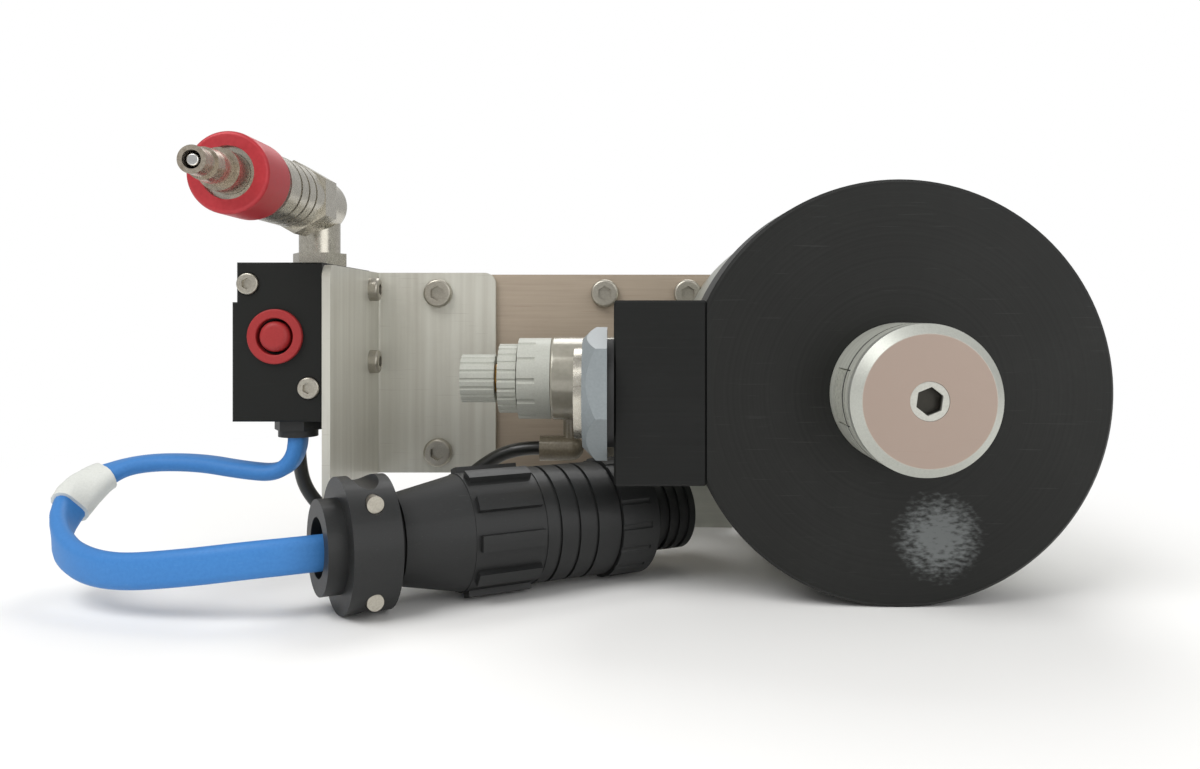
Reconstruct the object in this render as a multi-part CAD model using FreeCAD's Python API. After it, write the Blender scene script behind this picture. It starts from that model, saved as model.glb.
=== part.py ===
"""Pneumatic gripper head: expanding mandrel, cylinder, valve, regulator and cable connector.

Millimetres. Origin on the mandrel axis at the flange's front face, +Z up,
+Y from the flange back into the cylinder, so the mandrel points to -Y.
Each node is written to parts/NODE.step.
"""
import FreeCAD, Part
import math
import os

V = FreeCAD.Vector
X, Y, Z = V(1, 0, 0), V(0, 1, 0), V(0, 0, 1)

# ---- clearances -------------------------------------------------------------
FIT = 0.05            # radial gap of a running or seated fit
AIR = 0.3             # gap between pieces that move past each other
CUT = 1.0             # how far a cutter runs past the face that it opens

# ---- flange and cylinder ----------------------------------------------------
FLANGE_R = 50.0
FLANGE_T = 18.0
FLANGE_CHAMFER = 0.7
FLAT_X = -45.1        # vertical flat that carries the port block
BODY_R = 47.5
BODY_BORE_R = 30.0
BODY_L = 66.4
BODY_BACK = FLANGE_T + BODY_L
STROKE = 4.0          # piston travel

# ---- mandrel, jaws and drawn wedge ------------------------------------------
MANDREL_R = 16.5
SLEEVE_L = 17.4
SLEEVE_BORE_R = 11.0
SPIGOT_R = 13.0
SPIGOT_L = 6.0
SEAT_T = 0.6           # recess in the flange face that the sleeve stands in
CAP_T = 4.2
CAP_GAP = 0.3
CAP_CHAMFER = 2.1
JAW_W = 12.0
JAW_L = 11.0
JAW_FRONT = -15.0
JAW_ANGLES = (180.0, 60.0, -60.0)
RAMP_SLOPE = 0.2      # radial opening per axial travel
RAMP_R = 6.6          # wedge flat distance from the axis at the jaws' front end
WEDGE_R = 9.6
JAW_GAP = 0.1
GARTER_R = 0.7
GARTER_Y = -12.6
ROD_R = 5.0
BUSH_R = 10.0
BUSH_L = 16.0
SCREW_HEAD_R = 4.2
SOCKET_AF = 5.4

# ---- piston -----------------------------------------------------------------
PISTON_T = 14.0
PISTON_FRONT = 48.0
SEAL_T = 3.0
SEAL_DEPTH = 2.5
SPRING_R = 15.0
SPRING_WIRE_R = 1.1
SPRING_TURNS = 5.0
COVER_T = 10.0

# ---- port block and vent ----------------------------------------------------
BLOCK_W = 21.7
BLOCK_H = 43.4
BLOCK_LEFT = FLAT_X - BLOCK_W
BLOCK_SCREW_Z = 16.0
HEX_R = 16.3
HEX_L = 7.5
HEX_NECK = 1.6
HEX_TILT = 47.0
VENT_Z = -0.6
VENT_RING_R = 11.0
VENT_RING_L = 2.0

# ---- flow regulator ---------------------------------------------------------
REG_Y = 54.7
REG_RIGHT = -60.0
REG_PIPE_R = 5.0
REG_BODY_R = 11.9
REG_BODY_LEFT = -84.6
REG_COLLAR_R = 11.6
REG_COLLAR_LEFT = -93.8
LOCK_R = 9.9
LOCK_LEFT = -99.4
LOCK_T = 5.2
KNOB_R = 6.9
KNOB_LEFT = -110.2
KNOB_L = 9.6
BONNET_R = 4.2
NEEDLE_R = 2.0
STEM_X = -79.0
STEM_R = 2.3
PORT_Z = -20.0
PORT_R = 3.6
PORT_LEFT = -88.0

# ---- plate and bracket ------------------------------------------------------
PLATE_LEFT, PLATE_RIGHT = -141.0, 44.0
PLATE_H = 62.0
PLATE_T = 3.6
PLATE_Y = BODY_BACK
PLATE_BACK = PLATE_Y + PLATE_T
PATTERN_X, PATTERN_DX, PATTERN_DZ = -56.5, 26.2, 50.0
BODY_SCREW_X, BODY_SCREW_Z = 31.0, 21.5
SHEET_T = 2.2
LEG_LEFT = -143.2
LEG_FRONT = 28.5
LEG_H = 63.0
BACK_LEG_RIGHT = -104.0
BEND_R = 3.0
BRACKET_SCREW_X = -122.0
M5_HEAD_R, M5_HEAD_H, M5_R = 4.4, 2.8, 2.5

# ---- arm adapter ------------------------------------------------------------
ADAPTER_W = 59.0
ADAPTER_D = 40.0
ADAPTER_TOP = 31.0
ARM_BORE_R = 15.0
ARM_BORE_Z = -8.0
ARM_BORE_L = 36.0
SLIT = 2.0

# ---- valve ------------------------------------------------------------------
VALVE_LEFT = -166.6
VALVE_BOTTOM, VALVE_TOP = -9.7, 32.0
VALVE_FRONT, VALVE_D = 28.3, 51.0
VALVE_STEP = 1.2
VALVE_STEP_Z = 21.6
BUTTON_X, BUTTON_Z = -155.2, 12.6
BUTTON_RING_R, BUTTON_GROOVE_R, BUTTON_R = 7.2, 4.8, 4.0
BUTTON_PROUD = 1.3
BUTTON_TRAVEL = 2.5
BUTTON_L = 5.0
M3_HEAD_R, M3_HEAD_H, M3_R = 2.85, 1.6, 1.5
VALVE_SCREWS = ((-162.5, 26.4), (-146.6, -0.9))
NUT_PLACES = ((72.0, 26.0), (72.0, 4.0))

# ---- inlet elbow and quick coupler ------------------------------------------
INLET_X, INLET_Y, INLET_Z = -150.3, 51.0, 49.1
STEM_IN_R = 5.7
ELBOW_R = 7.5
COUPLER_R = 9.0
COUPLER_BACK = 38.0
COUPLER_FRONT = 1.0
COLLAR_FRONT, COLLAR_BACK = -17.3, -2.3
COLLAR_R = 9.05
COLLAR_TRAVEL = 3.0
GUIDE_R = 5.8
NIPPLE_R = 4.6
NIPPLE_TIP_R = 2.9
NIPPLE_TIP = -35.6
POPPET_R = 1.3
POPPET_BORE_R = 1.9
POPPET_TRAVEL = 1.5

# ---- cable, tube and connector ----------------------------------------------
CABLE_W = 8.5
GLAND_X, GLAND_Y = -151.5, 35.5
GLAND_L = 4.5
TUBE_D = 4.0
FIT_X, FIT_Y = -158.5, 58.0
FLOOR_Z = -FLANGE_R
CON_START = V(-126.9, -3.1, -34.4)
CON_YAW = 29.0
CON_DIR = V(math.cos(math.radians(CON_YAW)), math.sin(math.radians(CON_YAW)), 0)
CLAMP_R, COLLAR_END_R = 15.6, 10.9
CLAMP_BORE_R = 6.9
PIN_L = 6.0
SHELL_R, CON_BODY_R, MATE_R = 15.0, 14.4, 10.4

# Centre line of each free line from its gland to its fitting, hand laid.
CABLE_ROUTE = [
    (-151.5, 35.5, -14.2), (-151.5, 35.5, -19.2), (-156.5, 35.4, -24.2), (-165.5, 35.0, -23.4),
    (-178.0, 34.0, -21.0), (-192.2, 31.5, -20.8), (-199.6, 25.5, -23.4),
    (-202.6, 17.5, -28.2), (-200.5, 7.0, -34.6), (-191.8, -2.0, -38.6),
    (-179.5, -8.0, -39.8), (-163.0, -11.0, -38.0),
    (-148.5, -11.5, -36.2), (-137.0, -8.7, -35.6), (-126.9, -3.1, -35.6),
]
TUBE_ROUTE = [
    (-158.5, 58.0, -15.7), (-158.5, 58.0, -24.0), (-156.5, 58.2, -33.0),
    (-149.0, 58.8, -41.0), (-137.0, 59.3, -44.5), (-124.5, 59.0, -42.0),
    (-113.5, 58.0, -33.0), (-104.0, 56.5, -24.5), (-95.0, 54.7, -20.0),
    (-88.0, 54.7, -20.0),
]


def cyl(radius, start, axis, length):
    """Cylinder from a start point along an axis."""
    return Part.makeCylinder(radius, length, start, axis)


def ring(outer, inner, start, axis, length):
    """Tube section from a start point along an axis."""
    bore_start = start - axis * CUT
    return cyl(outer, start, axis, length).cut(cyl(inner, bore_start, axis, length + 2 * CUT))


def cone(r_start, r_end, start, axis, length):
    return Part.makeCone(r_start, r_end, length, start, axis)


def block(x0, x1, y0, y1, z0, z1):
    return Part.makeBox(x1 - x0, y1 - y0, z1 - z0, V(x0, y0, z0))


def prism(radius, sides, start, axis, length, turn=0.0):
    """Regular prism: corners at the radius, first corner turned about the axis."""
    side = V(0, 0, 1) if abs(axis.z) < 0.9 else V(1, 0, 0)
    other = axis.cross(side)
    corners = []
    for i in range(sides + 1):
        angle = math.radians(turn + 360.0 * i / sides)
        corners.append(start + side * (radius * math.cos(angle)) + other * (radius * math.sin(angle)))
    return Part.Face(Part.makePolygon(corners)).extrude(axis * length)


def hex_socket(across, start, axis, depth, turn=0.0):
    return prism(across / math.sqrt(3), 6, start, axis, depth, turn)


def group(shapes):
    return Part.makeCompound(shapes)


def socket_screw(seat, axis, length, head_r=M5_HEAD_R, head_h=M5_HEAD_H, shank_r=M5_R):
    """Socket head screw: its head's underside is on the seat, its shank runs along the axis."""
    head = cyl(head_r, seat - axis * head_h, axis, head_h)
    edges = [e for e in head.Edges if isinstance(e.Curve, Part.Circle)
             and abs((e.Curve.Center - (seat - axis * head_h)).Length) < 0.01]
    head = head.makeFillet(head_h * 0.3, edges)
    screw = head.fuse(cyl(shank_r, seat, axis, length))
    return screw.cut(hex_socket(head_r * 0.92, seat - axis * (head_h + CUT), axis, CUT + head_h * 0.6))


def coil(radius, wire_r, start, axis, length, turns):
    """Compression spring made of one helical wire between flat seats."""
    usable = length - 2 * wire_r
    quarters = []
    for edge in Part.makeLongHelix(usable / turns, usable, radius).Edges:
        first, last = edge.ParameterRange
        cuts = [first + (last - first) * share for share in (0.25, 0.5, 0.75)]
        quarters += edge.split(cuts).Edges
    profile = Part.Wire([Part.makeCircle(wire_r, V(radius, 0, 0), V(0, 1, 0))])
    spring = Part.Wire(quarters).makePipeShell([profile], True, True)
    turn = FreeCAD.Rotation(Z, axis)
    spring.Placement = FreeCAD.Placement(start + axis * wire_r, turn)
    return spring


def rounded_path(points):
    """Straight runs joined by tangent arcs, each as large as its two runs allow."""
    pts = [V(*p) for p in points]
    edges, radii, last = [], [], pts[0]
    for before, corner, after in zip(pts, pts[1:], pts[2:]):
        into, out = (corner - before), (after - corner)
        run = 0.45 * min(into.Length, out.Length)
        into.normalize()
        out.normalize()
        turn = into.getAngle(out)
        radii.append(run / math.tan(turn / 2))
        start, end = corner - into * run, corner + out * run
        bulge = (out - into).normalize()
        centre = corner + bulge * (radii[-1] / math.cos(turn / 2))
        middle = centre - bulge * radii[-1]
        edges.append(Part.LineSegment(last, start).toShape())
        edges.append(Part.Arc(start, middle, end).toShape())
        last = end
    edges.append(Part.LineSegment(last, pts[-1]).toShape())
    return Part.Wire(edges), radii


def line_tube(name, points, diameter):
    """Plain tube of a free line; prints its radii and compares volume with section and length."""
    path, radii = rounded_path(points)
    heading = (V(*points[1]) - V(*points[0])).normalize()
    profile = Part.Wire([Part.makeCircle(diameter / 2, V(*points[0]), heading)])
    tube = path.makePipeShell([profile], True, False)
    expected = math.pi * (diameter / 2) ** 2 * path.Length
    print(name, "length", round(path.Length, 1), "radii", [round(r, 1) for r in radii],
          "volume ratio", round(tube.Volume / expected, 4))
    return tube


# ---- flange, cylinder and what runs inside them ------------------------------

def make_flange():
    disc = cyl(FLANGE_R, V(0, 0, 0), Y, FLANGE_T)
    disc = disc.makeChamfer(FLANGE_CHAMFER, [e for e in disc.Edges if isinstance(e.Curve, Part.Circle)])
    disc = disc.cut(block(-FLANGE_R - CUT, FLAT_X, -CUT, FLANGE_T + CUT, -FLANGE_R, FLANGE_R))
    disc = disc.cut(cyl(SPIGOT_R, V(0, -CUT, 0), Y, CUT + SPIGOT_L))
    disc = disc.cut(cyl(MANDREL_R + 2 * FIT, V(0, -CUT, 0), Y, CUT + SEAT_T))
    disc = disc.cut(cyl(BUSH_R, V(0, 0, 0), Y, FLANGE_T + CUT))
    for z in (-BLOCK_SCREW_Z, BLOCK_SCREW_Z):
        disc = disc.cut(cyl(2.0, V(FLAT_X - CUT, FLANGE_T / 2, z), X, 12.0 + CUT))
    return disc


def make_body():
    tube = ring(BODY_R, BODY_BORE_R, V(0, FLANGE_T, 0), Y, BODY_L)
    tube = tube.cut(cyl(REG_PIPE_R + FIT, V(-BODY_R - CUT, REG_Y, 0), X, BODY_R))
    for x, z in pattern_places():
        relief = cyl(M5_HEAD_R + AIR, V(x, BODY_BACK - M5_HEAD_H - AIR, z), Y, M5_HEAD_H + AIR + CUT)
        tube = tube.cut(relief)
    for x, z in body_screw_places():
        tube = tube.cut(cyl(M5_R, V(x, BODY_BACK - 14.0, z), Y, 14.0 + CUT))
    return tube


def body_screw_places():
    return [(sx * BODY_SCREW_X, sz * BODY_SCREW_Z) for sx in (-1, 1) for sz in (-1, 1)]


def make_rear_cover():
    cover = cyl(BODY_BORE_R - FIT, V(0, BODY_BACK - COVER_T, 0), Y, COVER_T)
    groove = ring(BODY_BORE_R + CUT, BODY_BORE_R - SEAL_DEPTH, V(0, BODY_BACK - COVER_T / 2 - SEAL_T / 2, 0), Y, SEAL_T)
    return cover.cut(groove)


def make_cover_seal():
    return ring(BODY_BORE_R - FIT, BODY_BORE_R - SEAL_DEPTH + FIT,
                V(0, BODY_BACK - COVER_T / 2 - SEAL_T / 2 + FIT, 0), Y, SEAL_T - 2 * FIT)


def make_bush():
    return ring(BUSH_R, ROD_R + FIT, V(0, SPIGOT_L, 0), Y, BUSH_L)


def make_piston():
    piston = cyl(BODY_BORE_R - FIT, V(0, PISTON_FRONT, 0), Y, PISTON_T)
    middle = PISTON_FRONT + PISTON_T / 2 - SEAL_T / 2
    piston = piston.cut(ring(BODY_BORE_R + CUT, BODY_BORE_R - SEAL_DEPTH, V(0, middle, 0), Y, SEAL_T))
    return piston.cut(cyl(ROD_R, V(0, PISTON_FRONT - CUT, 0), Y, PISTON_T - 3.0 + CUT))


def make_piston_seal():
    middle = PISTON_FRONT + PISTON_T / 2 - SEAL_T / 2 + FIT
    return ring(BODY_BORE_R - FIT, BODY_BORE_R - SEAL_DEPTH + FIT, V(0, middle, 0), Y, SEAL_T - 2 * FIT)


def make_rod():
    """Piston rod from the wedge's back end into the piston."""
    return cyl(ROD_R, V(0, wedge_back(), 0), Y, PISTON_FRONT + PISTON_T - 3.0 - wedge_back())


def make_return_spring():
    return coil(SPRING_R, SPRING_WIRE_R, V(0, FLANGE_T, 0), Y, PISTON_FRONT - FLANGE_T, SPRING_TURNS)


def wedge_back():
    return -STROKE + SPIGOT_L - AIR


def make_wedge():
    """Three-sided taper: its flats push the jaws out as it is driven forward."""
    front, back = -SLEEVE_L - CAP_GAP, wedge_back()
    r_front = RAMP_R + RAMP_SLOPE * (front - JAW_FRONT)
    r_back = RAMP_R + RAMP_SLOPE * (back - JAW_FRONT)
    wires = [triangle(r_front, front), triangle(r_back, back)]
    taper = Part.makeLoft(wires, True, True).common(cyl(WEDGE_R, V(0, front, 0), Y, back - front))
    return taper.cut(cyl(3.0, V(0, front - CUT, 0), Y, 12.0 + CUT))


def triangle(inner_r, y):
    """Triangle whose sides face the jaws, at a distance from the axis."""
    corners = []
    for angle in JAW_ANGLES + (JAW_ANGLES[0],):
        turn = math.radians(angle + 180.0)
        corners.append(V(2 * inner_r * math.cos(turn), y, 2 * inner_r * math.sin(turn)))
    return Part.makePolygon(corners)


def jaw_blank(width, front, length, inner):
    """Radial block of a jaw at angle 0, along +X, cut by the ramp underneath."""
    blank = block(inner, MANDREL_R + 2 * CUT, front, front + length, -width / 2, width / 2)
    return blank


def turned(shape, angle):
    """Copy of a shape turned about the mandrel axis, from +X towards +Z."""
    copy = shape.copy()
    copy.rotate(V(0, 0, 0), Y, -angle)
    return copy


def make_sleeve():
    neck = cyl(MANDREL_R - 5 * FIT, V(0, 0, 0), Y, SEAT_T).fuse(cyl(SPIGOT_R, V(0, 0, 0), Y, SPIGOT_L))
    sleeve = cyl(MANDREL_R, V(0, -SLEEVE_L, 0), Y, SLEEVE_L).fuse(neck)
    sleeve = sleeve.cut(cyl(SLEEVE_BORE_R, V(0, -SLEEVE_L - CUT, 0), Y, SLEEVE_L + SPIGOT_L + 2 * CUT))
    for angle in JAW_ANGLES:
        window = jaw_blank(JAW_W + 2 * AIR, JAW_FRONT - AIR, JAW_L + 2 * AIR, 0.0)
        sleeve = sleeve.cut(turned(window, angle))
    return sleeve.cut(garter_groove())


def garter_groove():
    depth = MANDREL_R - 2 * GARTER_R - FIT
    return ring(MANDREL_R + CUT, depth, V(0, GARTER_Y - GARTER_R - FIT, 0), Y, 2 * (GARTER_R + FIT))


def make_jaw(angle):
    """Jaw with a ramp that matches the wedge's flat and a toothed outer face."""
    front = RAMP_R + JAW_GAP
    back = front + RAMP_SLOPE * JAW_L
    outline = [V(front, JAW_FRONT, 0), V(back, JAW_FRONT + JAW_L, 0), V(MANDREL_R + CUT, JAW_FRONT + JAW_L, 0),
               V(MANDREL_R + CUT, JAW_FRONT, 0), V(front, JAW_FRONT, 0)]
    jaw = Part.Face(Part.makePolygon(outline)).extrude(Z * JAW_W)
    jaw.translate(V(0, 0, -JAW_W / 2))
    jaw = jaw.common(cyl(MANDREL_R, V(0, JAW_FRONT, 0), Y, JAW_L)).cut(garter_groove())
    first_tooth, pitch = GARTER_Y + GARTER_R + 1.2, 1.4
    teeth = int((JAW_FRONT + JAW_L - first_tooth) / pitch)
    for i in range(teeth):
        tooth_y = first_tooth + i * pitch
        jaw = jaw.cut(ring(MANDREL_R + CUT, MANDREL_R - 0.35, V(0, tooth_y, 0), Y, 0.5))
    return turned(jaw, angle)


def make_garter():
    return Part.makeTorus(MANDREL_R - GARTER_R, GARTER_R, V(0, GARTER_Y, 0), Y)


def make_nose_cap():
    front = -SLEEVE_L - CAP_GAP - CAP_T
    cap = cyl(MANDREL_R, V(0, front, 0), Y, CAP_T)
    rim = [e for e in cap.Edges if isinstance(e.Curve, Part.Circle) and e.Curve.Center.y < front + 0.01]
    cap = cap.makeChamfer(CAP_CHAMFER, rim)
    cap = cap.cut(cyl(SCREW_HEAD_R + FIT, V(0, front - CUT, 0), Y, CAP_T * 0.7 + CUT))
    return cap.cut(cyl(3.0 + FIT, V(0, front, 0), Y, CAP_T + CUT))


def make_nose_screw():
    front = -SLEEVE_L - CAP_GAP - CAP_T
    head = cyl(SCREW_HEAD_R, V(0, front + 0.15, 0), Y, CAP_T * 0.7 - 0.15)
    screw = head.fuse(cyl(3.0 - FIT, V(0, front + CAP_T * 0.7, 0), Y, CAP_T * 0.3 + 11.0))
    return screw.cut(hex_socket(SOCKET_AF, V(0, front - CUT, 0), Y, CUT + 2.6, 8.0))


# ---- port block and vent silencer --------------------------------------------

def make_port_block():
    body = block(BLOCK_LEFT, FLAT_X, 0, FLANGE_T, -BLOCK_H / 2, BLOCK_H / 2)
    body = body.makeChamfer(0.5, body.Edges)
    body = body.cut(cyl(6.5, V(BLOCK_LEFT - CUT, FLANGE_T / 2, VENT_Z), X, 9.0 + CUT))
    for z in (-BLOCK_SCREW_Z, BLOCK_SCREW_Z):
        body = body.cut(cyl(2.0 + FIT, V(BLOCK_LEFT - CUT, FLANGE_T / 2, z), X, BLOCK_W + 2 * CUT))
        body = body.cut(cyl(3.6, V(BLOCK_LEFT - CUT, FLANGE_T / 2, z), X, 4.2 + CUT))
    return body


def make_block_screws():
    seat_x = BLOCK_LEFT + 4.2
    return group([socket_screw(V(seat_x, FLANGE_T / 2, z), X, BLOCK_W - 4.2 + 11.0, 3.4, 3.8, 2.0 - FIT)
                  for z in (-BLOCK_SCREW_Z, BLOCK_SCREW_Z)])


def make_vent_body():
    right = BLOCK_LEFT - HEX_NECK
    start = V(right - HEX_L + HEX_NECK, FLANGE_T / 2, VENT_Z)
    body = prism(HEX_R, 6, start, X, HEX_L - HEX_NECK, HEX_TILT)
    taper = cone(HEX_R * 0.80, HEX_R * 1.12, start, X, HEX_R * 0.32)
    full = cyl(HEX_R * 1.12, start + X * (HEX_R * 0.32), X, HEX_L)
    body = body.common(taper.fuse(full))
    body = body.fuse(cyl(6.4, V(right, FLANGE_T / 2, VENT_Z), X, HEX_NECK + 8.0))
    return body.cut(cyl(5.0, start - X * CUT, X, HEX_L + 8.0 - CUT))


def make_vent_seal():
    return ring(HEX_R * 0.8, 6.5, V(BLOCK_LEFT - HEX_NECK, FLANGE_T / 2, VENT_Z), X, HEX_NECK)


def make_vent_ring():
    start = V(BLOCK_LEFT - HEX_L - VENT_RING_L, FLANGE_T / 2, VENT_Z)
    return ring(VENT_RING_R, 8.0, start, X, VENT_RING_L)


def make_vent_filter():
    start = V(BLOCK_LEFT - HEX_L - VENT_RING_L * 0.7, FLANGE_T / 2, VENT_Z)
    return cyl(8.0, start, X, VENT_RING_L * 0.7)


# ---- flow regulator -----------------------------------------------------------

def reg_point(x):
    return V(x, REG_Y, 0)


def make_reg_nipple():
    left, wall = REG_RIGHT, -BODY_R
    nut = prism(9.0, 6, reg_point(left), X, 7.0, 0.0)
    pipe = cyl(REG_PIPE_R, reg_point(left), X, abs(left) - BODY_BORE_R - 8.0)
    return nut.fuse(pipe).cut(cyl(2.5, reg_point(left - CUT), X, abs(left) + wall + 30.0))


def make_reg_body():
    body = cyl(REG_BODY_R, reg_point(REG_BODY_LEFT), X, REG_RIGHT - REG_BODY_LEFT)
    body = body.makeFillet(0.8, [e for e in body.Edges if isinstance(e.Curve, Part.Circle)])
    body = body.cut(cyl(NEEDLE_R + 0.6, reg_point(REG_BODY_LEFT - CUT), X, 14.0 + CUT))
    return body.cut(cyl(STEM_R, V(STEM_X, REG_Y, -REG_BODY_R - CUT), Z, 7.0))


def make_reg_collar():
    start = reg_point(REG_COLLAR_LEFT)
    collar = ring(REG_COLLAR_R, BONNET_R, start, X, REG_BODY_LEFT - REG_COLLAR_LEFT)
    for i in range(12):
        spot = reg_point(REG_COLLAR_LEFT - CUT)
        angle = math.radians(i * 30.0)
        flute = cyl(0.9, spot + V(0, math.cos(angle), math.sin(angle)) * (REG_COLLAR_R + 0.4), X, 6.0)
        collar = collar.cut(flute)
    return collar


def make_bonnet():
    """Threaded neck that guides the lock ring and the knob's needle."""
    return ring(BONNET_R, NEEDLE_R + FIT, reg_point(LOCK_LEFT - 3.2), X, REG_BODY_LEFT - LOCK_LEFT + 3.2)


def knurled(outer, inner, left, length, notches):
    wheel = ring(outer, inner, reg_point(left), X, length)
    for i in range(notches):
        angle = 2 * math.pi * i / notches
        spot = reg_point(left - CUT) + V(0, math.cos(angle), math.sin(angle)) * (outer + 0.25)
        wheel = wheel.cut(cyl(0.6, spot, X, length + 2 * CUT))
    return wheel


def make_lock_ring():
    return knurled(LOCK_R, BONNET_R + FIT, LOCK_LEFT, LOCK_T, 24)


def make_knob():
    """Fluted knob and its needle, which runs through the neck into the body."""
    knob = knurled(KNOB_R, NEEDLE_R, KNOB_LEFT, KNOB_L, 18)
    bonnet_left = LOCK_LEFT - 3.2
    pocket = cyl(BONNET_R + AIR, reg_point(bonnet_left - AIR), X, KNOB_L)
    needle = cyl(NEEDLE_R, reg_point(KNOB_LEFT), X, REG_BODY_LEFT + 10.0 - KNOB_LEFT)
    return knob.cut(pocket).fuse(needle)


def make_reg_elbow():
    """Push-in elbow: stem up into the regulator, port towards the air tube."""
    stem = cyl(STEM_R, V(STEM_X, REG_Y, PORT_Z), Z, -PORT_Z - REG_BODY_R + 5.0)
    ball = Part.makeSphere(PORT_R, V(STEM_X, REG_Y, PORT_Z))
    port = cyl(PORT_R, V(PORT_LEFT, REG_Y, PORT_Z), X, STEM_X - PORT_LEFT)
    return stem.fuse([ball, port])


# ---- plate, bracket and adapter -----------------------------------------------

def pattern_places():
    return [(PATTERN_X + sx * PATTERN_DX / 2, sz * PATTERN_DZ / 2) for sx in (-1, 1) for sz in (-1, 1)]


def bracket_screw_places():
    return [(BRACKET_SCREW_X, -PATTERN_DZ / 2), (BRACKET_SCREW_X, PATTERN_DZ / 2)]


def make_plate():
    plate = block(PLATE_LEFT, PLATE_RIGHT, PLATE_Y, PLATE_BACK, -PLATE_H / 2, PLATE_H / 2)
    for x, z in pattern_places() + bracket_screw_places() + body_screw_places():
        plate = plate.cut(cyl(M5_R + FIT, V(x, PLATE_Y - CUT, z), Y, PLATE_T + 2 * CUT))
    return plate


def make_plate_screws():
    return group([socket_screw(V(x, PLATE_Y, z), Y, PLATE_T + 12.0) for x, z in pattern_places()])


def make_body_screws():
    return group([socket_screw(V(x, PLATE_BACK, z), V(0, -1, 0), PLATE_T + 13.0) for x, z in body_screw_places()])


def make_bracket():
    """Bent sheet: one leg against the plate, the other carries the valve."""
    y_back, y_front = PLATE_Y, LEG_FRONT
    half = LEG_H / 2
    corner = V(LEG_LEFT, y_back, 0)
    back = block(LEG_LEFT + BEND_R, BACK_LEG_RIGHT, y_back - SHEET_T, y_back, -half, half)
    side = block(LEG_LEFT, LEG_LEFT + SHEET_T, y_front, y_back - BEND_R, -half, half)
    bend = ring(BEND_R, BEND_R - SHEET_T, corner + V(BEND_R, -BEND_R, -half), Z, LEG_H)
    bend = bend.common(block(LEG_LEFT, LEG_LEFT + BEND_R, y_back - BEND_R, y_back, -half, half))
    back = back.makeFillet(3.5, [e for e in back.Edges
                                 if abs(e.CenterOfMass.x - BACK_LEG_RIGHT) < 0.01 and e.Length < SHEET_T + 0.1])
    side = side.makeFillet(3.5, [e for e in side.Edges
                                 if abs(e.CenterOfMass.y - y_front) < 0.01 and e.Length < SHEET_T + 0.1])
    sheet = back.fuse([side, bend]).removeSplitter()
    for x, z in bracket_screw_places():
        sheet = sheet.cut(cyl(M5_R + FIT, V(x, y_back - SHEET_T - CUT, z), Y, SHEET_T + 2 * CUT))
    for y, z in NUT_PLACES:
        sheet = sheet.cut(cyl(2.0 + FIT, V(LEG_LEFT - CUT, y, z), X, SHEET_T + 2 * CUT))
    return sheet


def make_bracket_screws():
    seat = PLATE_Y - SHEET_T
    screws = [socket_screw(V(x, seat, z), Y, SHEET_T + PLATE_T + 4.0) for x, z in bracket_screw_places()]
    nuts = [prism(4.6, 6, V(x, PLATE_BACK, z), Y, 4.0).cut(cyl(M5_R, V(x, PLATE_BACK - CUT, z), Y, 4.0 + 2 * CUT))
            for x, z in bracket_screw_places()]
    return group(screws + nuts)


def make_valve_mount_screws():
    face = LEG_LEFT + SHEET_T
    return group([socket_screw(V(face, y, z), V(-1, 0, 0), SHEET_T + 8.0, 3.5, 3.0, 2.0) for y, z in NUT_PLACES])


def make_adapter():
    left = PATTERN_X - ADAPTER_W / 2
    body = block(left, left + ADAPTER_W, PLATE_BACK, PLATE_BACK + ADAPTER_D, FLOOR_Z, ADAPTER_TOP)
    upright = [e for e in body.Edges if e.Length > ADAPTER_TOP - FLOOR_Z - 0.1]
    body = body.makeChamfer(1.5, upright)
    body = body.cut(cyl(ARM_BORE_R, V(PATTERN_X, PLATE_BACK + ADAPTER_D + CUT, ARM_BORE_Z), V(0, -1, 0),
                        ARM_BORE_L + CUT))
    body = body.cut(block(left - CUT, PATTERN_X, PLATE_BACK + ADAPTER_D - ARM_BORE_L, PLATE_BACK + ADAPTER_D + CUT,
                          ARM_BORE_Z - SLIT / 2, ARM_BORE_Z + SLIT / 2))
    for x, z in pattern_places():
        body = body.cut(cyl(M5_R + FIT, V(x, PLATE_BACK - CUT, z), Y, 13.0 + CUT))
    for x, z in body_screw_places():
        body = body.cut(cyl(M5_HEAD_R + AIR, V(x, PLATE_BACK - CUT, z), Y, M5_HEAD_H + AIR + CUT))
    for y in clamp_screw_places():
        body = body.cut(cyl(M5_R + FIT, V(left + 6.5, y, ARM_BORE_Z - 14.0), Z, ADAPTER_TOP))
        body = body.cut(cyl(M5_HEAD_R + AIR, V(left + 6.5, y, ARM_BORE_Z + 12.0), Z, ADAPTER_TOP - ARM_BORE_Z))
    return body


def clamp_screw_places():
    return (PLATE_BACK + 12.0, PLATE_BACK + ADAPTER_D - 8.0)


def make_clamp_screws():
    x = PATTERN_X - ADAPTER_W / 2 + 6.5
    return group([socket_screw(V(x, y, ARM_BORE_Z + 12.0), V(0, 0, -1), 25.0) for y in clamp_screw_places()])


# ---- valve and push button ----------------------------------------------------

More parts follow.
